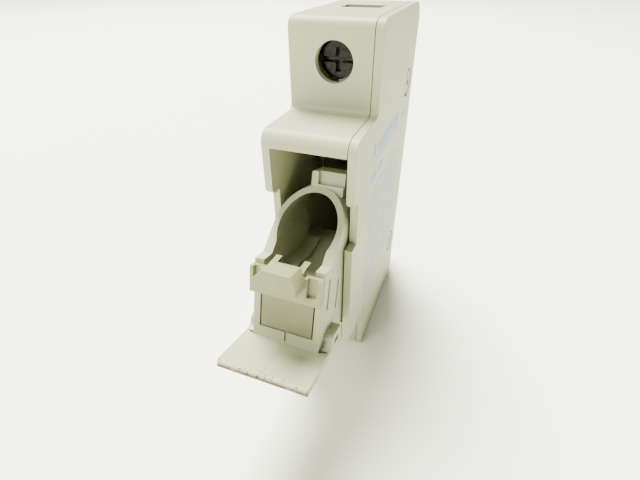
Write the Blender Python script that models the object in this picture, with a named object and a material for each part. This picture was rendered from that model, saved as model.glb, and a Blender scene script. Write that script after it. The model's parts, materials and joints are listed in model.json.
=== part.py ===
"""One-pole cartridge fuse holder for a 35 mm rail, with its fuse carrier swung open.

Frame: X runs across the width, -Y is the front, +Z is up when the holder hangs on its rail.
The origin is the centre of the face that seats on the rail. Units are metres.
"""

import math

import bmesh
import bpy
from mathutils import Matrix, Vector

MM = 0.001

# Body
BODY_WIDTH = 17.5 * MM
BODY_HEIGHT = 80.0 * MM
BODY_DEPTH = 49.0 * MM
NOSE_HEIGHT = 48.1 * MM
TERMINAL_SETBACK = 13.45 * MM
WALL = 1.5 * MM
SIDE_WALL = 1.55 * MM
COVER_THICKNESS = 1.45 * MM
OPENING_LIP = 2.9 * MM
NOSE_RADIUS = 2.5 * MM
INNER_RADIUS = 1.2 * MM
TOP_RADIUS = 2.0 * MM
BACK_RADIUS = 5.0 * MM

# Clearances
FIT_GAP = 0.3 * MM
RUN_GAP = 0.35 * MM
OVERLAP = 0.5 * MM

# Fuse that the holder takes
FUSE_DIAMETER = 10.3 * MM
FUSE_LENGTH = 38.1 * MM
FERRULE_LENGTH = 9.5 * MM
FUSE_PLAY = 0.6 * MM

# Carrier, in depth behind its front plate and height along the fuse, measured from its end face
OPEN_ANGLE = math.radians(75.0)
END_FACE_HEIGHT = 13.8 * MM
PIVOT_DEPTH = 10.1 * MM
PIVOT_DROP = 21.56 * MM
FUSE_AXIS_DEPTH = 21.3 * MM
FUSE_END_DROP = 2.7 * MM
HEEL_CLEAR_OF_FERRULE = 1.3 * MM
PLATE_THICKNESS = 1.5 * MM
LIP_LENGTH = 10.0 * MM
EAR_TOP_DROP = 2.3 * MM
EAR_LENGTH = 5.7 * MM
EAR_DEPTH = 2.6 * MM
EAR_ROUND = 1.0 * MM
EAR_FILLET = 1.4 * MM
NOTCH_BELOW_EAR = 3.3 * MM
NOTCH_CHAMFER = 0.9 * MM
EAR_SLOT_MIDDLE = 0.6 * MM
EAR_SLOT_LENGTH = 2.6 * MM
EAR_SLOT_WIDTH = 1.1 * MM
SLOT_WIDTH = 1.0 * MM
SLOT_LENGTH = 6.5 * MM
SLOT_DEPTH = 0.8 * MM
OUTER_SLOT_LOW = 7.7 * MM
OUTER_SLOT_DROP = 2.5 * MM
INNER_SLOT_LOW = 5.1 * MM
INNER_SLOT_DROP = 8.1 * MM
END_MARK_WIDTH = 0.4 * MM
ARM_DEPTH = 16.5 * MM
RING_DROP = 7.24 * MM
RING_SLOPE = 0.86
RING_WALL = 1.1 * MM
CHANNEL_WAIST = 0.87
CHANNEL_BED = 12.4 * MM
BED_END_DROP = 21.4 * MM
BED_RAMP_LENGTH = 4.9 * MM
BED_RAMP_RISE = 1.8 * MM
GROOVE_LEFT = -2.0 * MM
GROOVE_DROP = 1.0 * MM
PIN_RADIUS = 1.25 * MM
PIN_POCKET = 0.85 * MM
LUG_DEPTH = 31.0 * MM
LUG_LEFT = -2.2 * MM
LUG_LENGTH = 5.0 * MM
LUG_RIB = 1.6 * MM
LUG_RECESS = 0.9 * MM

# Panel and retainer on the carrier's end face
PANEL_WIDTH = 11.0 * MM
PANEL_LOW = 2.4 * MM
PANEL_HIGH = 11.5 * MM
PANEL_THICKNESS = 1.2 * MM
RETAINER_LOW = 10.6 * MM
RETAINER_HIGH = 15.7 * MM
RETAINER_THICKNESS = 1.6 * MM
TAB_REACH = 5.8 * MM
TAB_LOW = 13.8 * MM
TAB_HIGH = 17.4 * MM
TAB_SHOULDER = 15.4 * MM
TAB_LEFT = -4.4 * MM
TAB_RIGHT = 3.8 * MM
TAB_LEFT_BEVEL = 2.0 * MM
TAB_RIGHT_BEVEL = 1.1 * MM
TAB_RIM = 0.5 * MM
PRONG_SPACING = 5.6 * MM
PRONG_WIDTH = 1.2 * MM
PRONG_REACH = 1.8 * MM
PRONG_SLOPE = 0.6 * MM
PRONG_BELOW_TAB = 0.2 * MM
FINGER_RIM = 0.7 * MM
FINGER_FLOOR = 1.4 * MM
FINGER_RECESS = 0.8 * MM

# Contacts
CLIP_THICKNESS = 0.6 * MM
CLIP_GRIP = 0.2 * MM
CLIP_BEHIND_FUSE = 0.45 * MM
CLIP_BELOW_FUSE = 0.2 * MM
JAW_LENGTH = 7.0 * MM
UPPER_JAW_LENGTH = 5.9 * MM
UPPER_JAW_HEIGHT = 3.6 * MM
BAR_THICKNESS = 1.0 * MM
BAR_WIDTH = 7.6 * MM
SPRING_LEAF = 0.3 * MM
SPRING_HEIGHT = 3.4 * MM
RIVET_RADIUS = 0.9 * MM
CONTACT_RIVET_RISE = 3.6 * MM
CLIP_TAIL = 6.4 * MM
BAR_ABOVE_FUSE = 1.1 * MM
BAR_PAST_CAGE = 0.4 * MM
FOOT_INSET = 0.4 * MM
EDGE_STEP = 0.1 * MM
SKIN_STEP = 0.02 * MM
LOWER_JAW_SHARE = 0.8
LOWER_SPRING_EXTRA = 1.5 * MM
LOWER_SPRING_RISE = 0.5 * MM

# Terminals
TERMINAL_FROM_END = 7.1 * MM
SCREW_HOLE_RADIUS = 3.6 * MM
HEAD_RADIUS = 3.3 * MM
HEAD_HEIGHT = 2.0 * MM
HEAD_DEPTH = 2.4 * MM
SCREW_RADIUS = 2.2 * MM
SLOT_HALF = 0.45 * MM
SLOT_CUT = 1.1 * MM
CROSS_SHARE = 0.62
CAGE_WALL = 1.4 * MM
CAGE_HEIGHT = 7.0 * MM
WIRE_SPACE = 5.8 * MM
CAGE_FREE = 0.9 * MM
PARTITION_THICKNESS = 1.2 * MM
PARTITION_FROM_CAGE = 1.8 * MM
PARTITION_BEHIND_BAR = 2.3 * MM

# Rivets that hold the two housing halves
RIVET_FROM_BACK = 6.7 * MM
RIVET_HEIGHT = 23.45 * MM
RECESS_RADIUS = 3.3 * MM
RECESS_DEPTH = 0.85 * MM
EYELET_RADIUS = 1.45 * MM
EYELET_BORE_SHARE = 0.55
EYELET_HEAD_RADIUS = 2.7 * MM
EYELET_HEAD = 0.5 * MM
BOSS_RADIUS = 3.4 * MM

# Rail hook and latch
RAIL_HEIGHT = 35.0 * MM
RAIL_FLANGE_SPACE = 1.5 * MM
RAIL_GRIP = 1.2 * MM
FOOT_DEPTH = 6.5 * MM
FOOT_WIDTH = 10.0 * MM
HOOK_HEIGHT = 4.6 * MM
HOOK_CHAMFER = 1.5 * MM
HOOK_LEAD_IN = 0.6 * MM
SEAT_RISE = 0.3 * MM
LATCH_FLANGE = 1.0 * MM
LATCH_BASE = 1.3 * MM
LATCH_END = 3.5 * MM
LATCH_RIB = 1.4 * MM
LATCH_RIB_WIDTH = 0.7 * MM
LATCH_RIB_DROP = 1.0 * MM
LATCH_CHAMFER = 1.0 * MM
LATCH_NOSE_DROP = 2.0 * MM
LATCH_NOSE_SLOPE = 2.4 * MM
PRY_SLOT_DEPTH = 1.4 * MM
PRY_SLOT_LOW = 0.8 * MM
PRY_SLOT_HEIGHT = 0.8 * MM
PRY_SLOT_SHARE = 0.7
WINDOW_RISE = 2.2 * MM
WINDOW_WIDTH = 4.2 * MM
WINDOW_HEIGHT = 10.3 * MM
SEAT_REACH = 4.0 * MM
SEAT_THICKNESS = 1.3 * MM
COIL_DEPTH = 2.4 * MM
COIL_RADIUS = 1.3 * MM
COIL_WIRE = 0.25 * MM
COIL_TURNS = 5

# Values that follow from the ones above
HALF_WIDTH = BODY_WIDTH / 2
HALF_HEIGHT = BODY_HEIGHT / 2
NOSE_HALF = NOSE_HEIGHT / 2
NOSE_FRONT = -BODY_DEPTH
BLOCK_FRONT = -BODY_DEPTH + TERMINAL_SETBACK
LEFT_INNER = -HALF_WIDTH + SIDE_WALL
COVER_INNER = HALF_WIDTH - COVER_THICKNESS
SHELL_EDGE = COVER_INNER - FIT_GAP
PLATE_PLANE = NOSE_FRONT - FIT_GAP
PIVOT = Vector((0.0, PLATE_PLANE + PIVOT_DEPTH, END_FACE_HEIGHT - PIVOT_DROP))
FUSE_Y = PLATE_PLANE + FUSE_AXIS_DEPTH
FUSE_TOP = END_FACE_HEIGHT - FUSE_END_DROP
FUSE_BOTTOM = FUSE_TOP - FUSE_LENGTH
FUSE_RADIUS = FUSE_DIAMETER / 2
CARRIER_HALF = HALF_WIDTH - SIDE_WALL - RUN_GAP
CHANNEL_RADIUS = FUSE_RADIUS + FUSE_PLAY
RING_RADIUS = CHANNEL_RADIUS + RING_WALL
HEEL_END = -FUSE_END_DROP - FUSE_LENGTH + FERRULE_LENGTH + HEEL_CLEAR_OF_FERRULE
HEEL_RADIUS = math.hypot(PIVOT_DEPTH, HEEL_END + PIVOT_DROP)
CLIP_FRONT = FUSE_Y + FUSE_RADIUS + CLIP_BEHIND_FUSE
BAR_FRONT = CLIP_FRONT + CLIP_THICKNESS + FIT_GAP
BAR_BACK = BAR_FRONT + BAR_THICKNESS
TERMINAL_Z = HALF_HEIGHT - TERMINAL_FROM_END
JAW_INNER = FUSE_RADIUS - CLIP_GRIP
JAW_OUTER = JAW_INNER + CLIP_THICKNESS
RAIL_EDGE = RAIL_HEIGHT / 2 + FIT_GAP
SEAT_HALF = RAIL_EDGE - RAIL_GRIP - FIT_GAP
MIN_RADIUS = 0.3 * MM
HEAD_FRONT = BLOCK_FRONT + HEAD_DEPTH


def material(name, colour, roughness, metallic):
    made = bpy.data.materials.new(name)
    made.use_nodes = True
    shader = made.node_tree.nodes["Principled BSDF"]
    shader.inputs["Base Color"].default_value = (*colour, 1.0)
    shader.inputs["Roughness"].default_value = roughness
    shader.inputs["Metallic"].default_value = metallic
    return made


def object_from(name, mesh_builder, finish, location=(0.0, 0.0, 0.0)):
    mesh = bpy.data.meshes.new(name)
    bmesh.ops.recalc_face_normals(mesh_builder, faces=mesh_builder.faces[:])
    mesh_builder.to_mesh(mesh)
    mesh_builder.free()
    made = bpy.data.objects.new(name, mesh)
    made.location = location
    bpy.context.scene.collection.objects.link(made)
    if finish is not None:
        mesh.materials.append(finish)
    return made


def box(name, low, high, finish=None, location=(0.0, 0.0, 0.0)):
    builder = bmesh.new()
    bmesh.ops.create_cube(builder, size=1.0)
    size = Vector(high) - Vector(low)
    centre = (Vector(high) + Vector(low)) / 2
    bmesh.ops.transform(builder, matrix=Matrix.Translation(centre) @ Matrix.Diagonal((*size, 1.0)),
                        verts=builder.verts[:])
    return object_from(name, builder, finish, location)


def prism(name, outline, low_x, high_x, finish=None, location=(0.0, 0.0, 0.0)):
    """A (y, z) outline extruded along X."""
    builder = bmesh.new()
    face = builder.faces.new([builder.verts.new((low_x, y, z)) for y, z in outline])
    grown = bmesh.ops.extrude_face_region(builder, geom=[face])["geom"]
    moved = [item for item in grown if isinstance(item, bmesh.types.BMVert)]
    bmesh.ops.translate(builder, verts=moved, vec=(high_x - low_x, 0.0, 0.0))
    return object_from(name, builder, finish, location)


def bar_along(name, outline, axis, low, high, finish=None, location=(0.0, 0.0, 0.0)):
    """An outline extruded along Y (outline in x, z) or along Z (outline in x, y)."""
    builder = bmesh.new()
    points = {"Y": [(a, low, b) for a, b in outline], "Z": [(a, b, low) for a, b in outline]}[axis]
    face = builder.faces.new([builder.verts.new(point) for point in points])
    grown = bmesh.ops.extrude_face_region(builder, geom=[face])["geom"]
    moved = [item for item in grown if isinstance(item, bmesh.types.BMVert)]
    step = (0.0, high - low, 0.0) if axis == "Y" else (0.0, 0.0, high - low)
    bmesh.ops.translate(builder, verts=moved, vec=step)
    return object_from(name, builder, finish, location)


def round_bar(name, axis, centre, radius, low, high, segments=24, finish=None, location=(0.0, 0.0, 0.0)):
    """A cylinder along one axis; centre holds the other two coordinates in order."""
    ring = [(centre[0] + radius * math.cos(math.tau * step / segments),
             centre[1] + radius * math.sin(math.tau * step / segments)) for step in range(segments)]
    if axis == "X":
        return prism(name, ring, low, high, finish, location)
    return bar_along(name, ring, axis, low, high, finish, location)


def combine(target, other, operation):
    """Cut or join another object into target with an exact Boolean; the other stays as a hidden guide."""
    other.hide_render = True
    other.display_type = "WIRE"
    modifier = target.modifiers.new(other.name, "BOOLEAN")
    modifier.operation = operation
    modifier.solver = "EXACT"
    modifier.object = other


def cut(target, *cutters):
    for cutter in cutters:
        combine(target, cutter, "DIFFERENCE")


def join(target, *others):
    for other in others:
        combine(target, other, "UNION")


def rounded(corners, steps=7):
    """An outline with each (y, z, radius) corner turned to an arc."""
    points = []
    count = len(corners)
    for index, (y, z, radius) in enumerate(corners):
        here = Vector((y, z))
        before = (Vector(corners[index - 1][:2]) - here).normalized()
        after = (Vector(corners[(index + 1) % count][:2]) - here).normalized()
        if radius == 0.0:
            points.append((y, z))
            continue
        half = before.angle(after) / 2
        centre = here + (before + after).normalized() * radius / math.sin(half)
        start = here + before * radius / math.tan(half) - centre
        turn = math.atan2((here + after * radius / math.tan(half) - centre).cross(start),
                          (here + after * radius / math.tan(half) - centre).dot(start))
        for step in range(steps + 1):
            angle = -turn * step / steps
            points.append((centre.x + start.x * math.cos(angle) - start.y * math.sin(angle),
                           centre.y + start.x * math.sin(angle) + start.y * math.cos(angle)))
    return points


def body_outline(inset):
    """The stepped side outline of the holder, drawn in by a wall."""
    nose = NOSE_FRONT + inset
    block = BLOCK_FRONT + inset
    back = -inset
    shelf = NOSE_HALF - inset
    top = HALF_HEIGHT - inset
    nose_radius = max(NOSE_RADIUS - inset, MIN_RADIUS)
    top_radius = max(TOP_RADIUS - inset, MIN_RADIUS)
    back_radius = max(BACK_RADIUS - inset, MIN_RADIUS)
    inner_radius = INNER_RADIUS + inset / 2
    return rounded([(nose, shelf, nose_radius), (block, shelf, inner_radius), (block, top, top_radius),
                    (back, top, back_radius), (back, -top, back_radius), (block, -top, top_radius),
                    (block, -shelf, inner_radius), (nose, -shelf, nose_radius)])


def ear_notch(name, low_x, high_x):
    """The notch in a side wall that an ear of the closed carrier fills, chamfered above for its fillet."""
    ear_top = END_FACE_HEIGHT - EAR_TOP_DROP + FIT_GAP
    ear_low = END_FACE_HEIGHT - EAR_TOP_DROP - EAR_LENGTH - NOTCH_BELOW_EAR
    back = PLATE_PLANE + EAR_DEPTH + OVERLAP
    front = NOSE_FRONT - OVERLAP
    return prism(name, [(front, ear_low), (back, ear_low), (back, ear_top),
                        (NOSE_FRONT + NOTCH_CHAMFER, ear_top), (front, ear_top + NOTCH_CHAMFER + OVERLAP)],
                 low_x, high_x)


def clear_behind_seat(name, sign, low_x, high_x):
    """The back beyond the rail's edges, set in so that only the rail seat touches the rail."""
    reach = sorted((sign * SEAT_HALF, sign * (HALF_HEIGHT + OVERLAP)))
    return box(name, (low_x, -SEAT_RISE, reach[0]), (high_x, OVERLAP, reach[1]))


def make_shell(finish):
    shell = prism("housing_shell", body_outline(0.0), -HALF_WIDTH, SHELL_EDGE, finish)
    cut(shell, prism("shell_cavity", body_outline(WALL), LEFT_INNER, SHELL_EDGE + OVERLAP))
    lip = NOSE_HALF - OPENING_LIP
    cut(shell,
        box("nose_window", (LEFT_INNER, NOSE_FRONT - OVERLAP, PIVOT.z),
            (SHELL_EDGE + OVERLAP, NOSE_FRONT + WALL + OVERLAP, lip)),
        round_bar("heel_sweep", "X", (PIVOT.y, PIVOT.z), HEEL_RADIUS + RUN_GAP + FIT_GAP,
                  LEFT_INNER, SHELL_EDGE + OVERLAP, 48),
        ear_notch("left_notch", -HALF_WIDTH - OVERLAP, LEFT_INNER + OVERLAP),
        round_bar("left_pin_pocket", "X", (PIVOT.y, PIVOT.z), PIN_RADIUS + FIT_GAP,
                  LEFT_INNER - PIN_POCKET, LEFT_INNER + OVERLAP))
    inner_end = SHELL_EDGE - FIT_GAP
    for side, sign in (("upper", 1), ("lower", -1)):
        boss_z = sign * RIVET_HEIGHT
        join(shell, round_bar(side + "_boss", "X", (-RIVET_FROM_BACK, boss_z), BOSS_RADIUS,
                              LEFT_INNER - OVERLAP, inner_end))
        partition_end = TERMINAL_Z - CAGE_HEIGHT / 2 - PARTITION_FROM_CAGE
        partition = sorted((sign * partition_end, sign * (partition_end - PARTITION_THICKNESS)))
        join(shell, box(side + "_partition",
                        (LEFT_INNER - OVERLAP, BAR_BACK + PARTITION_BEHIND_BAR, partition[0]),
                        (inner_end, -WALL + OVERLAP, partition[1])))
        cut(shell,
            round_bar(side + "_boss_bore", "X", (-RIVET_FROM_BACK, boss_z), EYELET_RADIUS + FIT_GAP,
                      -HALF_WIDTH - OVERLAP, SHELL_EDGE),
            round_bar(side + "_left_recess", "X", (-RIVET_FROM_BACK, boss_z), RECESS_RADIUS,
                      -HALF_WIDTH - OVERLAP, -HALF_WIDTH + RECESS_DEPTH),
            round_bar(side + "_screw_hole", "Y", (0.0, sign * TERMINAL_Z), SCREW_HOLE_RADIUS,
                      BLOCK_FRONT - OVERLAP, BLOCK_FRONT + WALL + OVERLAP, 32),
            clear_behind_seat(side + "_shell_clearance", sign, -HALF_WIDTH - OVERLAP, SHELL_EDGE + OVERLAP))
        ends = sorted((sign * (HALF_HEIGHT - WALL - OVERLAP), sign * (HALF_HEIGHT + OVERLAP)))
        cut(shell, box(side + "_wire_hole", (-BAR_WIDTH / 2 - FIT_GAP, BAR_BACK + FIT_GAP, ends[0]),
                       (BAR_WIDTH / 2 + FIT_GAP, BAR_BACK + WIRE_SPACE - FIT_GAP, ends[1])))
    add_rail_features(shell)
    return shell


def add_rail_features(shell):
    """The fixed hook for the rail's upper edge, the guides for the latch, and the seat of its spring."""
    half = FOOT_WIDTH / 2
    root = -SEAT_RISE - OVERLAP
    hook_top = RAIL_EDGE + HOOK_HEIGHT
    join(shell,
         prism("rail_hook", [(root, hook_top), (root, RAIL_EDGE), (RAIL_FLANGE_SPACE, RAIL_EDGE),
                             (RAIL_FLANGE_SPACE, RAIL_EDGE - RAIL_GRIP),
                             (FOOT_DEPTH - HOOK_CHAMFER, RAIL_EDGE - RAIL_GRIP),
                             (FOOT_DEPTH, RAIL_EDGE + HOOK_LEAD_IN), (FOOT_DEPTH, hook_top - HOOK_CHAMFER),
                             (FOOT_DEPTH - HOOK_CHAMFER, hook_top)], -half, half))
    rib_low = -HALF_HEIGHT + LATCH_END / 2
    rib_high = -RAIL_EDGE - LATCH_RIB_DROP
    lip_front = LATCH_BASE + 2 * FIT_GAP
    for side, sign in (("left", -1), ("right", 1)):
        inner = sign * (half + FIT_GAP)
        middle = sign * (half + LATCH_FLANGE + FIT_GAP)
        outer = sign * (half + LATCH_FLANGE + FIT_GAP + LATCH_RIB_WIDTH)
        rib = sorted((middle, outer))
        lip = sorted((inner, outer))
        join(shell,
             box(side + "_latch_rib", (rib[0], root, rib_low), (rib[1], lip_front + LATCH_RIB, rib_high)),
             box(side + "_latch_lip", (lip[0], lip_front, rib_low),
                 (lip[1], lip_front + LATCH_RIB, rib_high)))
    seat_low = window_low() + FIT_GAP
    join(shell, box("spring_seat", (-WINDOW_WIDTH / 2 + FIT_GAP, root, seat_low),
                    (WINDOW_WIDTH / 2 - FIT_GAP, SEAT_REACH, seat_low + SEAT_THICKNESS)))


def window_low():
    """Height of the lower edge of the latch's spring window."""
    return -HALF_HEIGHT + LATCH_END + WINDOW_RISE


def make_cover(finish):
    cover = prism("side_cover", body_outline(0.0), COVER_INNER, HALF_WIDTH, finish)
    cut(cover,
        ear_notch("right_notch", COVER_INNER - OVERLAP, HALF_WIDTH + OVERLAP),
        round_bar("right_pin_pocket", "X", (PIVOT.y, PIVOT.z), PIN_RADIUS + FIT_GAP,
                  COVER_INNER - OVERLAP, COVER_INNER + PIN_POCKET))
    for side, sign in (("upper", 1), ("lower", -1)):
        centre = (-RIVET_FROM_BACK, sign * RIVET_HEIGHT)
        cut(cover,
            round_bar(side + "_cover_bore", "X", centre, EYELET_RADIUS + FIT_GAP,
                      COVER_INNER - OVERLAP, HALF_WIDTH),
            round_bar(side + "_cover_recess", "X", centre, RECESS_RADIUS,
                      HALF_WIDTH - RECESS_DEPTH, HALF_WIDTH + OVERLAP),
            clear_behind_seat(side + "_cover_clearance", sign, COVER_INNER - OVERLAP, HALF_WIDTH + OVERLAP))
    return cover


def make_eyelet(side, sign, finish):
    """A tubular rivet that holds the two housing halves together."""
    floor = HALF_WIDTH - RECESS_DEPTH + FIT_GAP
    bore = EYELET_RADIUS * EYELET_BORE_SHARE
    profile = [(bore, -floor - EYELET_HEAD), (EYELET_HEAD_RADIUS, -floor - EYELET_HEAD),
               (EYELET_HEAD_RADIUS, -floor), (EYELET_RADIUS, -floor), (EYELET_RADIUS, floor),
               (EYELET_HEAD_RADIUS, floor), (EYELET_HEAD_RADIUS, floor + EYELET_HEAD),
               (bore, floor + EYELET_HEAD)]
    builder = bmesh.new()
    verts = [builder.verts.new((x, radius, 0.0)) for radius, x in profile]
    edges = [builder.edges.new((verts[step - 1], verts[step])) for step in range(len(verts))]
    bmesh.ops.spin(builder, geom=verts + edges, cent=(0.0, 0.0, 0.0), axis=(1.0, 0.0, 0.0), angle=math.tau,
                   steps=20, use_merge=True, use_duplicate=False)
    return object_from(side + "_housing_rivet", builder, finish, (0.0, -RIVET_FROM_BACK, sign * RIVET_HEIGHT))


def make_upper_clip(finish):
    """A rear strip with two jaws that grip the upper ferrule; the strip stops above the carrier's swing."""
    jaw_top = FUSE_TOP
    strip_low = PIVOT.z + math.sqrt((lug_radius() + 2 * RUN_GAP) ** 2 - (CLIP_FRONT - PIVOT.y) ** 2)
    back = CLIP_FRONT + CLIP_THICKNESS
    clip = box("upper_fuse_clip", (-BAR_WIDTH / 2, CLIP_FRONT, strip_low),
               (BAR_WIDTH / 2, back, jaw_top + CLIP_TAIL), finish)
    join(clip, box("upper_clip_cross", (-JAW_OUTER, CLIP_FRONT, strip_low), (JAW_OUTER, back, jaw_top)))
    for side, sign in (("left", -1), ("right", 1)):
        reach = sorted((sign * JAW_INNER, sign * JAW_OUTER))
        join(clip, box(side + "_upper_jaw", (reach[0], back - UPPER_JAW_LENGTH, jaw_top - UPPER_JAW_HEIGHT),
                       (reach[1], back - EDGE_STEP, jaw_top - EDGE_STEP)))
    cut(clip, round_bar("upper_clip_hole", "Y", (0.0, jaw_top + CONTACT_RIVET_RISE), RIVET_RADIUS + FIT_GAP,
                        CLIP_FRONT - OVERLAP, back + OVERLAP, 16))
    return clip


def lug_radius():
    """Radius that the carrier's lug sweeps about the pivot."""
    return math.hypot(LUG_DEPTH - PIVOT_DEPTH, PIVOT_DROP - lug_top_drop())


def lug_top_drop():
    """Depth below the end face at which the ring's sloped edge meets the lug's foot."""
    return RING_DROP + RING_SLOPE * RING_RADIUS


def make_upper_bar(finish):
    low = FUSE_TOP + BAR_ABOVE_FUSE
    bar = box("upper_terminal_bar", (-BAR_WIDTH / 2, BAR_FRONT, low),
              (BAR_WIDTH / 2, BAR_BACK, TERMINAL_Z + CAGE_HEIGHT / 2 + BAR_PAST_CAGE), finish)
    cut(bar, round_bar("upper_bar_hole", "Y", (0.0, FUSE_TOP + CONTACT_RIVET_RISE), RIVET_RADIUS + FIT_GAP,
                       BAR_FRONT - OVERLAP, BAR_BACK + OVERLAP, 16))
    return bar


def make_lower_clip(finish):
    """A floor plate under the fuse with two upright jaws for the lower ferrule."""
    top = FUSE_BOTTOM - CLIP_BELOW_FUSE
    bottom = top - CLIP_THICKNESS
    front = FUSE_Y - JAW_LENGTH / 2
    back = FUSE_Y + JAW_LENGTH / 2
    clip = box("lower_fuse_clip", (-JAW_OUTER, front, bottom), (JAW_OUTER, back, top), finish)
    for side, sign in (("left", -1), ("right", 1)):
        reach = sorted((sign * JAW_INNER, sign * (JAW_OUTER - SKIN_STEP)))
        join(clip, box(side + "_lower_jaw", (reach[0], front + EDGE_STEP, bottom + EDGE_STEP),
                       (reach[1], back - EDGE_STEP, top + FERRULE_LENGTH * LOWER_JAW_SHARE)))
    cut(clip, round_bar("lower_clip_hole", "Z", (0.0, FUSE_Y), RIVET_RADIUS + FIT_GAP,
                        bottom - OVERLAP, top + OVERLAP, 16))
    return clip


def lower_foot_top():
    """Height of the top of the lower bar's foot, under the lower clip."""
    return FUSE_BOTTOM - CLIP_BELOW_FUSE - CLIP_THICKNESS - FIT_GAP


def make_lower_bar(finish):
    """An angle: the foot lies under the lower clip and the tail hangs through the lower cage."""
    top = lower_foot_top()
    low = -TERMINAL_Z - CAGE_HEIGHT / 2 - BAR_PAST_CAGE
    foot_front = FUSE_Y - JAW_LENGTH / 2 + FOOT_INSET
    outline = [(foot_front, top), (foot_front, top - BAR_THICKNESS), (BAR_FRONT, top - BAR_THICKNESS),
               (BAR_FRONT, low), (BAR_BACK, low), (BAR_BACK, top)]
    bar = prism("lower_terminal_bar", outline, -BAR_WIDTH / 2, BAR_WIDTH / 2, finish)
    cut(bar, round_bar("lower_bar_hole", "Z", (0.0, FUSE_Y), RIVET_RADIUS + FIT_GAP,
                       top - BAR_THICKNESS - OVERLAP, top + OVERLAP, 16))
    return bar


def make_contact_rivets(finish):
    """A flush rivet joins each clip to its terminal bar."""
    length = CLIP_THICKNESS + FIT_GAP + BAR_THICKNESS
    round_bar("upper_contact_rivet", "Y", (0.0, FUSE_TOP + CONTACT_RIVET_RISE), RIVET_RADIUS,
              CLIP_FRONT, CLIP_FRONT + length, 16, finish)
    top = FUSE_BOTTOM - CLIP_BELOW_FUSE
    round_bar("lower_contact_rivet", "Z", (0.0, FUSE_Y), RIVET_RADIUS, top - length, top, 16, finish)


def make_clip_spring(name, base_y, reach, low, finish):
    """A U-shaped leaf outside a pair of jaws; reach is how far its arms run from the base along Y."""
    inner = JAW_OUTER + FIT_GAP
    outer = inner + SPRING_LEAF
    leaf = math.copysign(SPRING_LEAF, reach)
    outline = [(-outer, base_y), (-outer, base_y + reach), (-inner, base_y + reach), (-inner, base_y + leaf),
               (inner, base_y + leaf), (inner, base_y + reach), (outer, base_y + reach), (outer, base_y)]
    return bar_along(name, outline, "Z", low, low + SPRING_HEIGHT, finish)


def cage_front():
    """Rest position of the front face of the front wall of a clamp cage, which is fully open."""
    return BAR_FRONT - CAGE_FREE - CAGE_WALL


def make_cage(side, sign, finish):
    half = BAR_WIDTH / 2 + 2 * FIT_GAP
    low = sign * TERMINAL_Z - CAGE_HEIGHT / 2
    rear = BAR_BACK + WIRE_SPACE
    cage = box(side + "_terminal_cage", (-half - CAGE_WALL, cage_front(), low),
               (half + CAGE_WALL, rear + CAGE_WALL, low + CAGE_HEIGHT), finish)
    cut(cage,
        box(side + "_cage_space", (-half, cage_front() + CAGE_WALL, low - OVERLAP),
            (half, rear, low + CAGE_HEIGHT + OVERLAP)),
        round_bar(side + "_cage_thread", "Y", (0.0, sign * TERMINAL_Z), SCREW_RADIUS + FIT_GAP,
                  cage_front() - OVERLAP, cage_front() + CAGE_WALL + OVERLAP, 24))
    return cage


def make_screw(side, sign, finish):
    """A cheese-head screw with a cross slot; its origin is on its own axis."""
    place = (0.0, 0.0, sign * TERMINAL_Z)
    tip = BAR_FRONT - FIT_GAP
    screw = round_bar(side + "_terminal_screw", "Y", (0.0, 0.0), HEAD_RADIUS, HEAD_FRONT,
                      HEAD_FRONT + HEAD_HEIGHT, 32, finish, place)
    join(screw, round_bar(side + "_shank", "Y", (0.0, 0.0), SCREW_RADIUS, HEAD_FRONT + HEAD_HEIGHT / 2, tip,
                          24, None, place))
    arm = HEAD_RADIUS * CROSS_SHARE
    for name, half_x, half_z in (("slot", HEAD_RADIUS + OVERLAP, SLOT_HALF), ("cross", SLOT_HALF, arm)):
        cut(screw, box(side + "_" + name, (-half_x, HEAD_FRONT - OVERLAP, -half_z),
                       (half_x, HEAD_FRONT + SLOT_CUT, half_z), None, place))
    return screw


def make_latch(finish):
    """The spring-loaded lower rail foot, which slides down behind the housing."""
    half = FOOT_WIDTH / 2
    low = -HALF_HEIGHT + LATCH_END
    nose = -RAIL_EDGE - LATCH_NOSE_DROP
    outline = [(FIT_GAP, low), (FOOT_DEPTH - LATCH_CHAMFER, low), (FOOT_DEPTH, low + LATCH_CHAMFER),
               (FOOT_DEPTH, nose), (FOOT_DEPTH - LATCH_NOSE_SLOPE, -RAIL_EDGE + RAIL_GRIP),
               (RAIL_FLANGE_SPACE, -RAIL_EDGE + RAIL_GRIP), (RAIL_FLANGE_SPACE, -RAIL_EDGE),
               (FIT_GAP, -RAIL_EDGE)]
    latch = prism("rail_latch", outline, -half, half, finish)
    join(latch, box("latch_flange", (-half - LATCH_FLANGE, FIT_GAP, low),
                    (half + LATCH_FLANGE, FIT_GAP + LATCH_BASE, nose)))
    pry_low = low + PRY_SLOT_LOW
    cut(latch,
        box("latch_window", (-WINDOW_WIDTH / 2, -OVERLAP, window_low()),
            (WINDOW_WIDTH / 2, FOOT_DEPTH + OVERLAP, window_low() + WINDOW_HEIGHT)),
        box("latch_pry_slot", (-half * PRY_SLOT_SHARE, FOOT_DEPTH - PRY_SLOT_DEPTH, pry_low),
            (half * PRY_SLOT_SHARE, FOOT_DEPTH + OVERLAP, pry_low + PRY_SLOT_HEIGHT)))
    return latch


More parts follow.
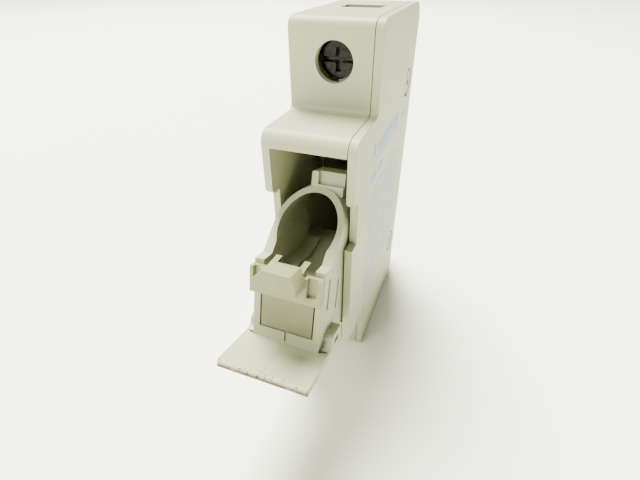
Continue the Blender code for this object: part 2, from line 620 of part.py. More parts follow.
def make_latch_spring(finish):
    """A compression coil between the housing's seat below and the latch's window edge above."""
    low = window_low() + FIT_GAP + SEAT_THICKNESS + FIT_GAP + COIL_WIRE
    high = window_low() + WINDOW_HEIGHT - FIT_GAP - COIL_WIRE
    curve = bpy.data.curves.new("rail_latch_spring", "CURVE")
    curve.dimensions = "3D"
    curve.bevel_depth = COIL_WIRE
    curve.bevel_resolution = 1
    curve.use_fill_caps = True
    steps = COIL_TURNS * 12
    line = curve.splines.new("POLY")
    line.points.add(steps)
    for step, point in enumerate(line.points):
        angle = math.tau * step / 12
        point.co = (COIL_RADIUS * math.cos(angle), COIL_DEPTH + COIL_RADIUS * math.sin(angle),
                    low + (high - low) * step / steps, 1.0)
    curve.materials.append(finish)
    spring = bpy.data.objects.new("rail_latch_spring", curve)
    bpy.context.scene.collection.objects.link(spring)
    return spring


def carrier_point(depth, height):
    """Carrier depth and height along the fuse, as (y, z) from the pivot."""
    return depth - PIVOT_DEPTH, height + PIVOT_DROP


def carrier_box(name, low_x, high_x, depths, heights, finish=None):
    low = carrier_point(min(depths), min(heights))
    high = carrier_point(max(depths), max(heights))
    return box(name, (low_x, *low), (high_x, *high), finish)


def heel_arc(steps=4):
    """The rounded lower front corner of the carrier, which clears the sill as it swings."""
    start = math.atan2(-math.sqrt(HEEL_RADIUS ** 2 - (PIVOT_DEPTH + PLATE_THICKNESS) ** 2),
                       -(PIVOT_DEPTH + PLATE_THICKNESS))
    end = math.atan2(HEEL_END + PIVOT_DROP, -PIVOT_DEPTH)
    return [(HEEL_RADIUS * math.cos(start + (end - start) * step / steps),
             HEEL_RADIUS * math.sin(start + (end - start) * step / steps)) for step in range(steps + 1)]


def make_carrier(finish, hinge):
    """The carrier: front plate, block, and the channel and short barrel that hold the fuse."""
    ring_foot = -RING_DROP - RING_SLOPE * (ARM_DEPTH - FUSE_AXIS_DEPTH)
    heel_back = CHANNEL_BED + BED_RAMP_RISE - GROOVE_DROP
    outline = [carrier_point(-PLATE_THICKNESS, 0.0), *heel_arc(), carrier_point(heel_back, HEEL_END),
               carrier_point(heel_back, -BED_END_DROP), carrier_point(FUSE_AXIS_DEPTH, -BED_END_DROP),
               carrier_point(FUSE_AXIS_DEPTH, -RING_DROP), carrier_point(ARM_DEPTH, ring_foot),
               carrier_point(ARM_DEPTH, 0.0)]
    carrier = prism("fuse_carrier", outline, -CARRIER_HALF, CARRIER_HALF, finish)
    join(carrier, make_barrel(ring_foot), make_lug())
    join(carrier, carrier_box("lip_plate", -HALF_WIDTH, HALF_WIDTH, (-PLATE_THICKNESS, 0.0),
                              (-EAR_TOP_DROP - EAR_LENGTH, LIP_LENGTH)))
    for side, sign in (("left", -1), ("right", 1)):
        join(carrier, make_ear(side, sign))
    waist = CHANNEL_RADIUS * CHANNEL_WAIST
    axis_y = carrier_point(FUSE_AXIS_DEPTH, 0.0)[0]
    cut(carrier,
        round_bar("fuse_channel", "Z", (0.0, axis_y), CHANNEL_RADIUS,
                  carrier_point(0.0, HEEL_END - OVERLAP)[1], carrier_point(0.0, OVERLAP)[1], 56),
        channel_bed("channel_floor", -waist, waist, CHANNEL_BED),
        channel_bed("channel_groove", GROOVE_LEFT, waist, CHANNEL_BED - GROOVE_DROP),
        carrier_box("panel_pocket", -PANEL_WIDTH / 2, PANEL_WIDTH / 2, (PANEL_LOW, PANEL_HIGH),
                    (-PANEL_THICKNESS - FIT_GAP, OVERLAP)),
        round_bar("pin_bore", "X", (0.0, 0.0), PIN_RADIUS + FIT_GAP, -CARRIER_HALF - OVERLAP,
                  CARRIER_HALF + OVERLAP),
        carrier_box("end_mark", -END_MARK_WIDTH / 2, END_MARK_WIDTH / 2,
                    (END_MARK_WIDTH, PANEL_LOW + OVERLAP), (-END_MARK_WIDTH, OVERLAP)))
    for side, sign in (("left", -1), ("right", 1)):
        cut(carrier, *side_slots(side, sign))
    return hang(carrier, hinge)


def make_barrel(ring_foot):
    """The round back of the channel, whose upper rim is cut on a slope."""
    axis_y = carrier_point(FUSE_AXIS_DEPTH, 0.0)[0]
    barrel = round_bar("barrel", "Z", (0.0, axis_y), RING_RADIUS, carrier_point(0.0, -BED_END_DROP)[1],
                       carrier_point(0.0, ring_foot)[1], 56)
    past = RING_RADIUS + OVERLAP
    back = FUSE_AXIS_DEPTH + past
    front = FUSE_AXIS_DEPTH - past
    cut(barrel, prism("rim_slope", [carrier_point(back, -RING_DROP - RING_SLOPE * past),
                                    carrier_point(back, OVERLAP), carrier_point(front, OVERLAP),
                                    carrier_point(front, -RING_DROP + RING_SLOPE * past)],
                      -RING_RADIUS - OVERLAP, RING_RADIUS + OVERLAP))
    return barrel


def channel_bed(name, low_x, high_x, depth):
    """A cutter for the flat lower part of the channel, which ramps up towards the barrel's end."""
    past_end = -BED_END_DROP - OVERLAP
    outline = [carrier_point(FUSE_AXIS_DEPTH, OVERLAP), carrier_point(FUSE_AXIS_DEPTH, past_end),
               carrier_point(depth + BED_RAMP_RISE, past_end),
               carrier_point(depth + BED_RAMP_RISE, -BED_END_DROP),
               carrier_point(depth, BED_RAMP_LENGTH - BED_END_DROP), carrier_point(depth, OVERLAP)]
    return prism(name, outline, low_x, high_x)


def make_ear(side, sign, steps=5):
    """A side cheek of the lip, blended into the lip by a hollow fillet."""
    reach = sorted((sign * (CARRIER_HALF - OVERLAP), sign * (HALF_WIDTH - SKIN_STEP)))
    low = -EAR_TOP_DROP - EAR_LENGTH + SKIN_STEP
    root = -PLATE_THICKNESS / 2
    fillet = [carrier_point(EAR_FILLET - EAR_FILLET * math.sin(math.pi / 2 * step / steps),
                            -EAR_TOP_DROP + EAR_FILLET - EAR_FILLET * math.cos(math.pi / 2 * step / steps))
              for step in range(steps + 1)]
    outline = rounded([(*carrier_point(root, low), 0.0), (*carrier_point(EAR_DEPTH, low), EAR_ROUND),
                       (*carrier_point(EAR_DEPTH, -EAR_TOP_DROP), EAR_ROUND),
                       *[(*point, 0.0) for point in fillet],
                       (*carrier_point(root, -EAR_TOP_DROP + EAR_FILLET), 0.0)])
    return prism(side + "_ear", outline, *reach)


def side_slots(side, sign):
    """The retainer's two snap slots and the ear's oval slot, on one side of the carrier."""
    reach = sorted((sign * (CARRIER_HALF - SLOT_DEPTH), sign * (CARRIER_HALF + OVERLAP)))
    cutters = [carrier_box(side + name, *reach, depths, heights) for name, depths, heights in (
        ("_outer_slot", (OUTER_SLOT_LOW, OUTER_SLOT_LOW + SLOT_LENGTH),
         (-OUTER_SLOT_DROP - SLOT_WIDTH, -OUTER_SLOT_DROP)),
        ("_inner_slot", (INNER_SLOT_LOW, INNER_SLOT_LOW + SLOT_LENGTH),
         (-INNER_SLOT_DROP - SLOT_WIDTH, -INNER_SLOT_DROP)))]
    middle = -EAR_TOP_DROP - EAR_LENGTH / 2
    ear_reach = sorted((sign * (HALF_WIDTH - SLOT_DEPTH), sign * (HALF_WIDTH + OVERLAP)))
    half = EAR_SLOT_WIDTH / 2 - SKIN_STEP / 2
    shallow, deep = EAR_SLOT_MIDDLE - EAR_SLOT_WIDTH / 2, EAR_SLOT_MIDDLE + EAR_SLOT_WIDTH / 2
    low, high = middle - EAR_SLOT_LENGTH / 2, middle + EAR_SLOT_LENGTH / 2
    corners = ((shallow, low), (deep, low), (deep, high), (shallow, high))
    outline = rounded([(*carrier_point(*corner), half) for corner in corners], 4)
    return [*cutters, prism(side + "_ear_slot", outline, *ear_reach)]


def make_lug():
    """The guide lug that stands on the ring, with a rib at its left end and a recessed face beside it."""
    top = lug_top_drop()
    right = JAW_INNER - RUN_GAP
    foot = FUSE_AXIS_DEPTH + CHANNEL_RADIUS - OVERLAP
    lug = carrier_box("lug", LUG_LEFT, right, (foot, LUG_DEPTH), (-top - LUG_LENGTH, -top))
    cut(lug, carrier_box("lug_recess", LUG_LEFT + LUG_RIB, right + OVERLAP,
                         (FUSE_AXIS_DEPTH + RING_RADIUS + FIT_GAP, LUG_DEPTH + OVERLAP),
                         (-top - LUG_RECESS, -top + OVERLAP)))
    return lug


def hang(piece, hinge):
    """Hang a piece and its hidden guides on the carrier's hinge."""
    for modifier in piece.modifiers:
        hang(modifier.object, hinge)
    piece.parent = hinge
    return piece


def make_panel(finish, hinge):
    panel = carrier_box("carrier_panel", -PANEL_WIDTH / 2 + FIT_GAP, PANEL_WIDTH / 2 - FIT_GAP,
                        (PANEL_LOW + FIT_GAP, PANEL_HIGH - FIT_GAP), (-PANEL_THICKNESS, 0.0), finish)
    return hang(panel, hinge)


def make_retainer(finish, hinge):
    """The bar across the end face, with its pull tab and the two prongs behind which the fuse sits."""
    low = FIT_GAP
    high = low + RETAINER_THICKNESS
    bar = carrier_box("fuse_retainer", -CARRIER_HALF, CARRIER_HALF, (RETAINER_LOW, RETAINER_HIGH),
                      (low, high), finish)
    tab_base = high - OVERLAP
    depth_low, height_low = carrier_point(TAB_LOW, tab_base)
    depth_high, height_high = carrier_point(TAB_HIGH, TAB_REACH)
    shoulder = carrier_point(TAB_SHOULDER, 0.0)[0]
    outline = [(TAB_LEFT, depth_low), (TAB_RIGHT, depth_low), (TAB_RIGHT, shoulder),
               (TAB_RIGHT - TAB_RIGHT_BEVEL, depth_high), (TAB_LEFT + TAB_LEFT_BEVEL, depth_high),
               (TAB_LEFT, shoulder)]
    join(bar, bar_along("pull_tab", outline, "Z", height_low, height_high))
    for side, sign in (("left", -1), ("right", 1)):
        middle = sign * PRONG_SPACING / 2
        top = TAB_HIGH - PRONG_BELOW_TAB
        prong = [carrier_point(RETAINER_HIGH - OVERLAP, high - EDGE_STEP),
                 carrier_point(RETAINER_HIGH - OVERLAP, low + EDGE_STEP),
                 carrier_point(ARM_DEPTH + FIT_GAP, low + EDGE_STEP),
                 carrier_point(ARM_DEPTH + FIT_GAP, -PRONG_REACH),
                 carrier_point(top, -PRONG_REACH), carrier_point(top - PRONG_SLOPE, high - EDGE_STEP)]
        join(bar, prism(side + "_prong", prong, middle - PRONG_WIDTH / 2, middle + PRONG_WIDTH / 2))
        tab_side = TAB_LEFT if sign < 0 else TAB_RIGHT
        end = sorted((tab_side + sign * TAB_RIM, sign * (CARRIER_HALF - FINGER_RIM)))
        cut(bar, carrier_box(side + "_finger_recess", *end,
                             (RETAINER_LOW + FINGER_FLOOR, RETAINER_HIGH + OVERLAP),
                             (high - FINGER_RECESS, high + OVERLAP)))
    return hang(bar, hinge)


def make_pin(finish, hinge):
    tip = HALF_WIDTH - SIDE_WALL + PIN_POCKET - FIT_GAP
    return hang(round_bar("pivot_pin", "X", (0.0, 0.0), PIN_RADIUS, -tip, tip, 20, finish), hinge)


def build():
    for old in list(bpy.data.objects):
        bpy.data.objects.remove(old, do_unlink=True)

    grey = material("grey_polyamide", (0.69, 0.71, 0.62), 0.55, 0.0)
    cream = material("cream_plastic", (0.73, 0.73, 0.52), 0.5, 0.0)
    beige = material("beige_plastic", (0.52, 0.54, 0.40), 0.45, 0.0)
    copper = material("tinned_copper", (0.72, 0.68, 0.62), 0.3, 1.0)
    steel = material("plated_steel", (0.60, 0.60, 0.60), 0.3, 1.0)
    dark_steel = material("nickel_screw", (0.30, 0.30, 0.30), 0.25, 1.0)
    black = material("black_polyamide", (0.03, 0.03, 0.03), 0.5, 0.0)

    make_shell(grey)
    make_cover(grey)
    for side, sign in (("upper", 1), ("lower", -1)):
        make_eyelet(side, sign, steel)
    make_upper_clip(copper)
    make_upper_bar(copper)
    make_clip_spring("upper_clip_spring", BAR_FRONT + SPRING_LEAF, -UPPER_JAW_LENGTH,
                     FUSE_TOP - UPPER_JAW_HEIGHT + FIT_GAP, steel)
    make_lower_clip(copper)
    make_lower_bar(copper)
    make_clip_spring("lower_clip_spring", BLOCK_FRONT + WALL + FIT_GAP, JAW_LENGTH + LOWER_SPRING_EXTRA,
                     FUSE_BOTTOM + LOWER_SPRING_RISE, steel)
    make_contact_rivets(steel)
    for side, sign in (("upper", 1), ("lower", -1)):
        make_cage(side, sign, steel)
        make_screw(side, sign, dark_steel)
    make_latch(black)
    make_latch_spring(steel)

    hinge = bpy.data.objects.new("carrier_hinge", None)
    hinge.location = PIVOT
    hinge.rotation_euler = (OPEN_ANGLE, 0.0, 0.0)
    bpy.context.scene.collection.objects.link(hinge)
    make_carrier(grey, hinge)
    make_panel(beige, hinge)
    make_retainer(cream, hinge)
    make_pin(steel, hinge)


build()
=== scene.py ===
"""Cartridge fuse holder with its carrier swung open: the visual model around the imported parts."""

import json
import math

import bmesh
import bpy
from mathutils import Matrix, Vector


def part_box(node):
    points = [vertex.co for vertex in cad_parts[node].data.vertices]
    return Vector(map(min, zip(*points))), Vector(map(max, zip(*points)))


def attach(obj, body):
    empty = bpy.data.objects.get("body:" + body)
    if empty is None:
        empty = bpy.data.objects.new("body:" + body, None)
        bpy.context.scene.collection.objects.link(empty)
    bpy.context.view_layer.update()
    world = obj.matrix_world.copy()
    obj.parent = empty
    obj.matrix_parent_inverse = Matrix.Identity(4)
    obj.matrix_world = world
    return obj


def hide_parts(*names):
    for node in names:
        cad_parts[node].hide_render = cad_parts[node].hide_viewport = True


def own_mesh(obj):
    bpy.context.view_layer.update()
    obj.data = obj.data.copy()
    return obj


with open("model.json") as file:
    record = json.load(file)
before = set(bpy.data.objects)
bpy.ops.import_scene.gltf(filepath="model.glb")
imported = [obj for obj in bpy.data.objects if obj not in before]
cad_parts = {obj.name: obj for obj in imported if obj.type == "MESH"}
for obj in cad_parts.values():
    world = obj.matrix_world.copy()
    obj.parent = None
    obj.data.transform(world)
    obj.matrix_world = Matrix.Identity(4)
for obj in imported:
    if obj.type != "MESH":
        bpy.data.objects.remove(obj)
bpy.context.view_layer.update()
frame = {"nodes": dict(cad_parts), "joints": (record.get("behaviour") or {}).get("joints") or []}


# Housing shell. The real piece is one injection-moulded tub of light grey, glass-filled polyamide: the left
# wall, the nose, both terminal blocks and the rail hook in one. The mould gives it a fine matt grain.
MM = 0.001
SAME_PLACE = 0.05 * MM
SIDE_ROUNDING_MM = 0.6
MOULDED_EDGE_MM = 0.15
POLYAMIDE_GRAIN_MM = 0.22
SEAM_SHARE = 0.55


def srgb(code):
    """A #RRGGBB colour as linear red, green, blue and alpha."""
    parts = [int(code[start:start + 2], 16) / 255 for start in (1, 3, 5)]
    return (*[part / 12.92 if part <= 0.04045 else ((part + 0.055) / 1.055) ** 2.4 for part in parts], 1.0)


def add_node(tree, kind, settings=None, inputs=None):
    """Add a node, set its properties, and set or link its inputs."""
    made = tree.nodes.new("ShaderNode" + kind)
    for name, value in (settings or {}).items():
        setattr(made, name, value)
    for name, value in (inputs or {}).items():
        if isinstance(value, bpy.types.NodeSocket):
            tree.links.new(value, made.inputs[name])
        else:
            made.inputs[name].default_value = value
    return made


def new_material(name, roughness, metallic=0.0):
    """A material with its shader and its object coordinates in millimetres."""
    made = bpy.data.materials.new(name)
    made.use_nodes = True
    shader = made.node_tree.nodes["Principled BSDF"]
    shader.inputs["Roughness"].default_value = roughness
    shader.inputs["Metallic"].default_value = metallic
    place = add_node(made.node_tree, "TexCoord")
    scaled = add_node(made.node_tree, "VectorMath", {"operation": "SCALE"},
                      {0: place.outputs["Object"], "Scale": 1 / MM})
    return made, made.node_tree, shader, scaled.outputs["Vector"]


def blotches(tree, place, size_mm, low, high, detail=2.0, roughness=0.5, faint=0.0, strong=1.0):
    """A mask of soft blotches about size_mm across: faint where the noise is under low, strong above high."""
    noise = add_node(tree, "TexNoise", {}, {"Vector": place, "Scale": 1 / size_mm, "Detail": detail,
                                            "Roughness": roughness})
    return add_node(tree, "MapRange", {}, {"Value": noise.outputs["Fac"], "From Min": low, "From Max": high,
                                           "To Min": faint, "To Max": strong}).outputs["Result"]


def stained(tree, colour, stain, *masks):
    """The colour with a stain laid over it where all the masks meet."""
    amount = masks[0]
    for mask in masks[1:]:
        amount = add_node(tree, "Math", {"operation": "MULTIPLY"}, {0: amount, 1: mask}).outputs[0]
    return add_node(tree, "Mix", {"data_type": "RGBA"}, {0: amount, 6: colour, 7: srgb(stain)}).outputs[2]


def finish_surface(tree, shader, place, colour, grain_mm=None, depth_mm=0.03):
    """Give the shader its colour and, where the surface has one, its fine matt grain."""
    tree.links.new(colour, shader.inputs["Base Color"])
    if grain_mm:
        noise = add_node(tree, "TexNoise", {}, {"Vector": place, "Scale": 1 / grain_mm, "Detail": 1.0})
        bump = add_node(tree, "Bump", {}, {"Height": noise.outputs["Fac"], "Strength": 0.35,
                                           "Distance": depth_mm * MM})
        tree.links.new(bump.outputs["Normal"], shader.inputs["Normal"])


def moulded_polyamide(name):
    """Aged light grey polyamide: even and matt, yellowed in broad patches, grubby in small ones, flecked."""
    made, tree, shader, place = new_material(name, roughness=0.52)
    colour = stained(tree, srgb("#A0A383"), "#999C7B", blotches(tree, place, 14.0, low=0.35, high=0.7))
    grime = blotches(tree, place, 1.6, low=0.62, high=0.78, detail=6.0, roughness=0.7, strong=0.35)
    colour = stained(tree, colour, "#8A8A6C", grime)
    flecks = blotches(tree, place, 0.45, low=0.775, high=0.79, detail=1.0, strong=0.6)
    colour = stained(tree, colour, "#4B4A38", flecks)
    return made, tree, shader, place, colour


def cad_copy(node):
    """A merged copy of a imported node's triangles, with its flat faces whole again."""
    copy = bmesh.new()
    copy.from_mesh(frame["nodes"][node].data)
    bmesh.ops.remove_doubles(copy, verts=copy.verts[:], dist=0.002 * MM)
    bmesh.ops.dissolve_limit(copy, angle_limit=math.radians(0.6), verts=copy.verts[:], edges=copy.edges[:])
    return copy


def soften(mesh, width_mm, segments=2, wanted=lambda edge: True, sharper_than=35.0):
    """Round the mesh's sharp edges, as moulded and pressed edges are."""
    edges = [edge for edge in mesh.edges if len(edge.link_faces) == 2
             and edge.calc_face_angle(0.0) > math.radians(sharper_than) and wanted(edge)]
    bmesh.ops.bevel(mesh, geom=edges, offset=width_mm * MM, offset_type="OFFSET", affect="EDGES",
                    segments=segments, profile=0.5, material=-1, clamp_overlap=True)


def show(name, mesh, finish, body, node, smooth=35.0):
    """Make the finished piece, give it its material, fix it to its body and let it stand for its node."""
    data = bpy.data.meshes.new(name)
    mesh.to_mesh(data)
    mesh.free()
    data.materials.append(finish)
    data.shade_smooth()
    data.set_sharp_from_angle(angle=math.radians(smooth))
    piece = bpy.data.objects.new(name, data)
    bpy.context.scene.collection.objects.link(piece)
    weighted = piece.modifiers.new("even_normals", "WEIGHTED_NORMAL")
    weighted.keep_sharp = True
    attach(piece, body)
    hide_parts(node)
    return piece


shell_low, shell_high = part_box("housing_shell")
cover_low, cover_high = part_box("side_cover")
seam = (cover_low.x - shell_high.x) / 2
rivet_centres = [sum(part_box(side + "_housing_rivet"), Vector()) / 2 for side in ("upper", "lower")]


def on_side(edge, x):
    return all(abs(vert.co.x - x) < SAME_PLACE for vert in edge.verts)


def near_rivet(edge, radius=4.0 * MM):
    middle = (edge.verts[0].co + edge.verts[1].co) / 2
    return any((middle - centre).yz.length < radius for centre in rivet_centres)


def housing_half(node, outer_x, seam_x, shift):
    """A half of the housing with its seam edge moved towards the other half and its outline rounded."""
    mesh = cad_copy(node)
    for vert in mesh.verts:
        if abs(vert.co.x - seam_x) < SAME_PLACE:
            vert.co.x += shift
    soften(mesh, SIDE_ROUNDING_MM, 4, lambda edge: on_side(edge, outer_x) and not near_rivet(edge))
    soften(mesh, MOULDED_EDGE_MM, sharper_than=50.0)
    return mesh


shell_finish, tree, shader, place, colour = moulded_polyamide("moulded_grey_polyamide")
finish_surface(tree, shader, place, colour, POLYAMIDE_GRAIN_MM)
shell_mesh = housing_half("housing_shell", shell_low.x, shell_high.x, seam * SEAM_SHARE)
show("shell", shell_mesh, shell_finish, "housing", "housing_shell")


# Side cover. A flat moulded plate of the same polyamide, closed onto the tub by two tubular rivets. Its outer
# face carries pale blue pad print, here only plain worn bars in rows: bold at the top, fine below.
PRINTED_ROWS = (
    {"y": (-37.5, -14.0), "z": (16.4, 19.2), "pitch": 3.0, "height": 2.6, "bar": 1.6},
    {"y": (-36.0, -14.0), "z": (14.9, 16.0), "pitch": 1.2, "height": 0.9, "bar": 0.8},
    {"y": (-11.0, -4.0), "z": (15.0, 17.6), "pitch": 1.3, "height": 0.9, "bar": 0.8},
    {"y": (-38.0, -28.0), "z": (10.9, 13.2), "pitch": 2.4, "height": 2.0, "bar": 1.3},
    {"y": (-38.0, -8.0), "z": (-20.0, 9.2), "pitch": 1.45, "height": 0.6, "bar": 0.8})
BARS_LEFT_OUT = 0.22
BAR_SPACING = 0.22


def bar_masks(tree, axes, y, z, pitch, height, bar):
    """Masks that meet on short bars, in rows down a rectangle of the side face; sizes are in millimetres."""
    from_top = add_node(tree, "Math", {"operation": "SUBTRACT"}, {0: z[1], 1: axes["Z"]}).outputs[0]
    within = add_node(tree, "Math", {"operation": "MODULO"}, {0: from_top, 1: pitch}).outputs[0]
    along = add_node(tree, "Math", {"operation": "FLOORED_MODULO"}, {0: axes["Y"], 1: bar}).outputs[0]
    row = add_node(tree, "Math", {"operation": "SNAP"}, {0: from_top, 1: pitch}).outputs[0]
    column = add_node(tree, "Math", {"operation": "SNAP"}, {0: axes["Y"], 1: bar}).outputs[0]
    cell = add_node(tree, "CombineXYZ", {}, {0: column, 1: row}).outputs[0]
    picked = add_node(tree, "TexWhiteNoise", {"noise_dimensions": "3D"}, {"Vector": cell}).outputs[0]
    tests = ((axes["Y"], "GREATER_THAN", y[0]), (axes["Y"], "LESS_THAN", y[1]),
             (axes["Z"], "GREATER_THAN", z[0]), (axes["Z"], "LESS_THAN", z[1]),
             (within, "LESS_THAN", height), (picked, "GREATER_THAN", BARS_LEFT_OUT),
             (along, "GREATER_THAN", BAR_SPACING * bar))
    return [add_node(tree, "Math", {"operation": operation}, {0: value, 1: limit}).outputs[0]
            for value, operation, limit in tests]


cover_finish, tree, shader, place, colour = moulded_polyamide("printed_grey_polyamide")
axes = add_node(tree, "SeparateXYZ", {}, {0: place}).outputs
outer_face = add_node(tree, "Math", {"operation": "GREATER_THAN"},
                      {0: axes["X"], 1: (cover_high.x - 2 * SAME_PLACE) / MM}).outputs[0]
wear = blotches(tree, place, 2.2, low=0.32, high=0.62, detail=4.0, roughness=0.65, faint=0.55)
for rows in PRINTED_ROWS:
    colour = stained(tree, colour, "#1C5CB4", outer_face, wear, *bar_masks(tree, axes, **rows))
finish_surface(tree, shader, place, colour, POLYAMIDE_GRAIN_MM)
cover_mesh = housing_half("side_cover", cover_high.x, cover_low.x, -seam * SEAM_SHARE)
show("cover", cover_mesh, cover_finish, "housing", "side_cover")


# Fuse carrier. One moulding of the same polyamide: finger lip, ears, block, and the tube that the fuse slides
# into. It stands swung down on its pin, and its lip is stained brown along the front edge from handling.
OPEN_ANGLE = math.radians(75.0)
LIP_ROUNDING_MM = 0.55
LUG_ROUNDING_MM = 0.7
CARRIER_EDGE_MM = 0.14
LIP_ROOT_MM = 14.0
LINE_FADE_MM = 0.1
hinge = next(joint for joint in frame["joints"] if joint["name"] == "carrier_hinge")
to_world = Matrix.Translation(Vector(hinge["pos_m"])) @ Matrix.Rotation(OPEN_ANGLE, 4, "X")
carrier_mesh = cad_copy("fuse_carrier")
bmesh.ops.transform(carrier_mesh, matrix=to_world.inverted(), verts=carrier_mesh.verts[:])
lip_top = max(vert.co.z for vert in carrier_mesh.verts)
lip_front = min(vert.co.y for vert in carrier_mesh.verts if vert.co.z > lip_top - SAME_PLACE)
soften(carrier_mesh, LIP_ROUNDING_MM, 4,
       lambda edge: all(vert.co.z > lip_top - SAME_PLACE for vert in edge.verts))
lug_back = max(vert.co.y for vert in carrier_mesh.verts)
lug_left = min(vert.co.x for vert in carrier_mesh.verts if vert.co.y > lug_back - SAME_PLACE)
soften(carrier_mesh, LUG_ROUNDING_MM, 5, lambda edge: on_side(edge, lug_left)
       and any(vert.co.y > lug_back - SAME_PLACE for vert in edge.verts))
soften(carrier_mesh, CARRIER_EDGE_MM, sharper_than=50.0)
bmesh.ops.transform(carrier_mesh, matrix=to_world, verts=carrier_mesh.verts[:])

carrier_finish, tree, shader, place, colour = moulded_polyamide("handled_grey_polyamide")
closed_place = add_node(tree, "Mapping", {"vector_type": "TEXTURE"},
                        {"Vector": place, "Location": Vector(hinge["pos_m"]) / MM,
                         "Rotation": (OPEN_ANGLE, 0.0, 0.0)}).outputs[0]
axes = add_node(tree, "SeparateXYZ", {}, {0: closed_place}).outputs
off_centre = add_node(tree, "Math", {"operation": "ABSOLUTE"}, {0: axes["X"]}).outputs[0]
lip_end_mm, lip_face_mm = lip_top / MM, lip_front / MM
fades = {name: add_node(tree, "MapRange", {}, {"Value": value, "From Min": none, "From Max": full,
                                               "To Max": strength}).outputs["Result"]
         for name, value, none, full, strength in (
             ("rim", axes["Z"], lip_end_mm - 0.75, lip_end_mm - 0.45, 1.0),
             ("underside", axes["Y"], lip_face_mm + 1.15, lip_face_mm + 0.8, 1.0),
             ("tip", axes["Z"], lip_end_mm - 1.1, lip_end_mm - 0.6, 1.0),
             ("line", off_centre, 0.14, 0.05, 0.3),
             ("lip", axes["Z"], LIP_ROOT_MM - LINE_FADE_MM, LIP_ROOT_MM + LINE_FADE_MM, 1.0))}
scuffs = blotches(tree, place, 0.9, low=0.34, high=0.50, detail=6.0, roughness=0.7, faint=0.35)
colour = stained(tree, colour, "#4B3A16", fades["rim"], fades["underside"], scuffs)
specks = blotches(tree, place, 0.6, low=0.59, high=0.63, detail=3.0, roughness=0.6)
colour = stained(tree, colour, "#29261A", fades["tip"], specks)
colour = stained(tree, colour, "#6F7058", fades["line"], fades["lip"])
finish_surface(tree, shader, place, colour, POLYAMIDE_GRAIN_MM)
show("carrier", carrier_mesh, carrier_finish, "carrier", "fuse_carrier")


# Carrier panel. A thin beige plate let into the carrier's end face, smoother than the polyamide round it and
# without its grain.
panel_finish, tree, shader, place = new_material("smooth_beige_plastic", roughness=0.42)
colour = stained(tree, srgb("#767854"), "#6F714E", blotches(tree, place, 5.0, low=0.3, high=0.7, detail=3.0))
finish_surface(tree, shader, place, colour)
panel_mesh = cad_copy("carrier_panel")
soften(panel_mesh, 0.12)
show("panel", panel_mesh, panel_finish, "carrier", "carrier_panel")


# Fuse retainer. A springy cream-coloured bar snapped across the end of the carrier, with a pull tab and two
# prongs that hold the fuse in. Natural nylon that has yellowed, slightly waxy and translucent at its edges.
retainer_finish, tree, shader, place = new_material("yellowed_natural_nylon", roughness=0.38)
shader.inputs["Subsurface Weight"].default_value = 0.12
shader.inputs["Subsurface Radius"].default_value = (0.9 * MM, 0.8 * MM, 0.5 * MM)
colour = stained(tree, srgb("#86885F"), "#7F8158", blotches(tree, place, 4.0, low=0.35, high=0.7, detail=3.0))
finish_surface(tree, shader, place, colour, grain_mm=0.5, depth_mm=0.04)
retainer_mesh = cad_copy("fuse_retainer")
soften(retainer_mesh, 0.34, 4, sharper_than=25.0)
show("retainer", retainer_mesh, retainer_finish, "carrier", "fuse_retainer")


# Steel parts. Clamp cages, clip springs, rivets and the hinge pin are zinc-plated steel: bright, faintly blue
# and mottled where the plating has dulled. The housing rivets, out in the open, have dulled all over.
def plated_metal(name, bright, dull, roughness):
    made, tree, shader, place = new_material(name, roughness, metallic=1.0)
    mottling = blotches(tree, place, 0.9, low=0.35, high=0.7, detail=5.0, roughness=0.7)
    colour = stained(tree, srgb(bright), dull, mottling)
    finish_surface(tree, shader, place, colour, grain_mm=0.15, depth_mm=0.02)
    return made


def show_metal(name, node, finish, body, edge_mm, segments=2):
    mesh = cad_copy(node)
    soften(mesh, edge_mm, segments)
    show(name, mesh, finish, body, node)


zinc_finish = plated_metal("zinc_plated_steel", "#C9CACB", "#A6A7A6", roughness=0.3)
dulled_finish = plated_metal("dulled_zinc_plate", "#77746A", "#565349", roughness=0.42)
for side in ("upper", "lower"):
    show_metal(side + "_cage", side + "_terminal_cage", zinc_finish, side + "_cage", 0.2)
for node, finish in (("clip_spring", zinc_finish), ("contact_rivet", zinc_finish),
                     ("housing_rivet", dulled_finish)):
    for side in ("upper_", "lower_"):
        show_metal(side + node + "_steel", side + node, finish, "housing", 0.05)
show_metal("hinge_pin", "pivot_pin", zinc_finish, "carrier", 0.15)


# Contacts. The sprung fuse clips and the terminal bars are pressed from copper strip and tin-plated, which
# leaves them a warm, slightly clouded white.
tin_finish = plated_metal("tin_plated_copper", "#CFC8BC", "#B3A898", roughness=0.34)
for node in ("upper_fuse_clip", "lower_fuse_clip", "upper_terminal_bar", "lower_terminal_bar"):
    show_metal(node + "_copper", node, tin_finish, "housing", 0.1)


# Terminal screws. Cheese-head steel screws with a cross slot, plated black nickel, deep in their round holes
# and glossy enough to glint.
nickel_finish = plated_metal("black_nickel_plate", "#262523", "#151514", roughness=0.16)
for side in ("upper", "lower"):
    show_metal(side + "_screw_steel", side + "_terminal_screw", nickel_finish, side + "_screw",
               0.25, segments=3)


# Rail latch. The sliding foot that grips the rail's lower edge, moulded in black glass-filled polyamide with
# a paler bloom in patches.
latch_finish, tree, shader, place = new_material("black_glass_filled_polyamide", roughness=0.48)
colour = stained(tree, srgb("#1F1F20"), "#2E2E2F", blotches(tree, place, 1.2, low=0.4, high=0.7, detail=5.0))
finish_surface(tree, shader, place, colour, grain_mm=0.25, depth_mm=0.04)
latch_mesh = cad_copy("rail_latch")
soften(latch_mesh, 0.25, 3)
show("latch", latch_mesh, latch_finish, "latch", "rail_latch")


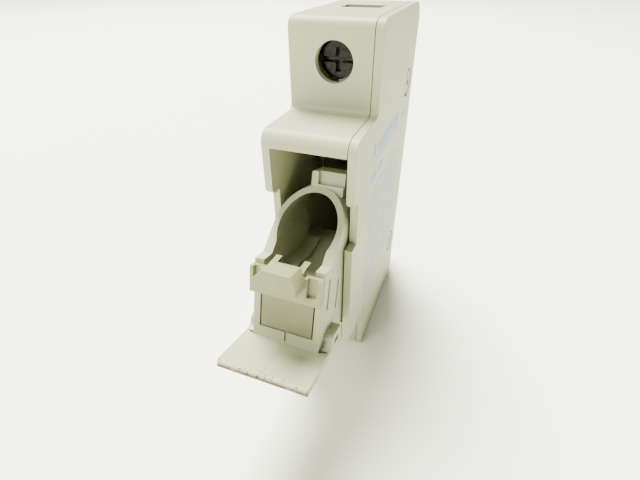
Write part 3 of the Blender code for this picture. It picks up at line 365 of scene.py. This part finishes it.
# Rail latch spring. A coil of zinc-plated steel wire between the housing's seat and the top of the latch's
# window. The real one shortens as the latch is pulled down; this one is built at one length, fixed to the
# housing.
WIRE_RADIUS = 0.25 * MM
SPRING_TURNS = 6
STEPS_A_TURN = 24
spring_low, spring_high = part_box("rail_latch_spring")
spring_length = spring_high.z - spring_low.z
middle = (spring_low + spring_high) / 2
coil_radius = (spring_high.x - spring_low.x) / 2 - WIRE_RADIUS
start = Vector((middle.x + coil_radius, middle.y, spring_low.z + WIRE_RADIUS))
steps = SPRING_TURNS * STEPS_A_TURN
coil = bmesh.new()
bmesh.ops.create_circle(coil, cap_ends=True, segments=10, radius=WIRE_RADIUS,
                        matrix=Matrix.Translation(start) @ Matrix.Rotation(math.pi / 2, 4, "X"))
bmesh.ops.spin(coil, geom=coil.verts[:] + coil.edges[:] + coil.faces[:], cent=middle, axis=(0, 0, 1),
               dvec=(0, 0, (spring_length - 2 * WIRE_RADIUS) / steps), angle=math.tau * SPRING_TURNS,
               steps=steps, use_merge=False, use_normal_flip=False, use_duplicate=False)
bmesh.ops.recalc_face_normals(coil, faces=coil.faces[:])
spring = show("latch_spring_wire", coil, zinc_finish, "housing", "rail_latch_spring",
              smooth=60.0)
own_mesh(spring)


# Surroundings. A pale sheet of paper under and behind the holder, one broad soft light overhead, a little
# behind it and to its left, and a weak fill from the front left.
floor_mesh = bmesh.new()
bmesh.ops.create_grid(floor_mesh, x_segments=1, y_segments=1, size=3.0,
                      matrix=Matrix.Translation((0, 0, shell_low.z)))
floor_data = bpy.data.meshes.new("floor")
floor_mesh.to_mesh(floor_data)
floor_mesh.free()
floor = bpy.data.objects.new("floor", floor_data)
bpy.context.scene.collection.objects.link(floor)
paper, tree, shader, place = new_material("pale_paper", roughness=0.9)
colour = stained(tree, srgb("#F9F9EA"), "#F6F7E6", blotches(tree, place, 60.0, low=0.3, high=0.7, detail=3.0))
finish_surface(tree, shader, place, colour)
floor_data.materials.append(paper)


def area_light(name, place, target, size, power):
    data = bpy.data.lights.new(name, "AREA")
    data.shape = "DISK"
    data.size = size
    data.energy = power
    data.color = srgb("#FFFFF6")[:3]
    light = bpy.data.objects.new(name, data)
    light.location = place
    light.rotation_euler = (Vector(target) - Vector(place)).to_track_quat("-Z", "Y").to_euler()
    bpy.context.scene.collection.objects.link(light)


area_light("overhead", place=(-0.50, 0.45, 1.45), target=(0, 0, 0), size=0.9, power=160.0)
area_light("front_fill", place=(-0.40, -0.9, 0.65), target=(0, -0.04, 0), size=0.6, power=16.0)
world = bpy.data.worlds.new("pale_room")
world.use_nodes = True
background = world.node_tree.nodes["Background"]
background.inputs["Color"].default_value = srgb("#F4F7EC")
background.inputs["Strength"].default_value = 0.5
bpy.context.scene.world = world

CAMERA_PLACE = Vector((24.60, -106.44, 48.24)) * MM
PITCH_DOWN, TURN_LEFT, ROLL = (math.radians(angle) for angle in (35.81, 21.31, -0.68))
forward = Vector((-math.sin(TURN_LEFT) * math.cos(PITCH_DOWN), math.cos(TURN_LEFT) * math.cos(PITCH_DOWN),
                  -math.sin(PITCH_DOWN)))
turned = forward.to_track_quat("-Z", "Y").to_matrix() @ Matrix.Rotation(ROLL, 3, "Z")
camera_data = bpy.data.cameras.new("camera")
camera_data.lens = 22.14
camera_data.clip_start = 5 * MM
camera = bpy.data.objects.new("camera", camera_data)
camera.matrix_world = Matrix.Translation(CAMERA_PLACE) @ turned.to_4x4()
bpy.context.scene.collection.objects.link(camera)
bpy.context.scene.camera = camera
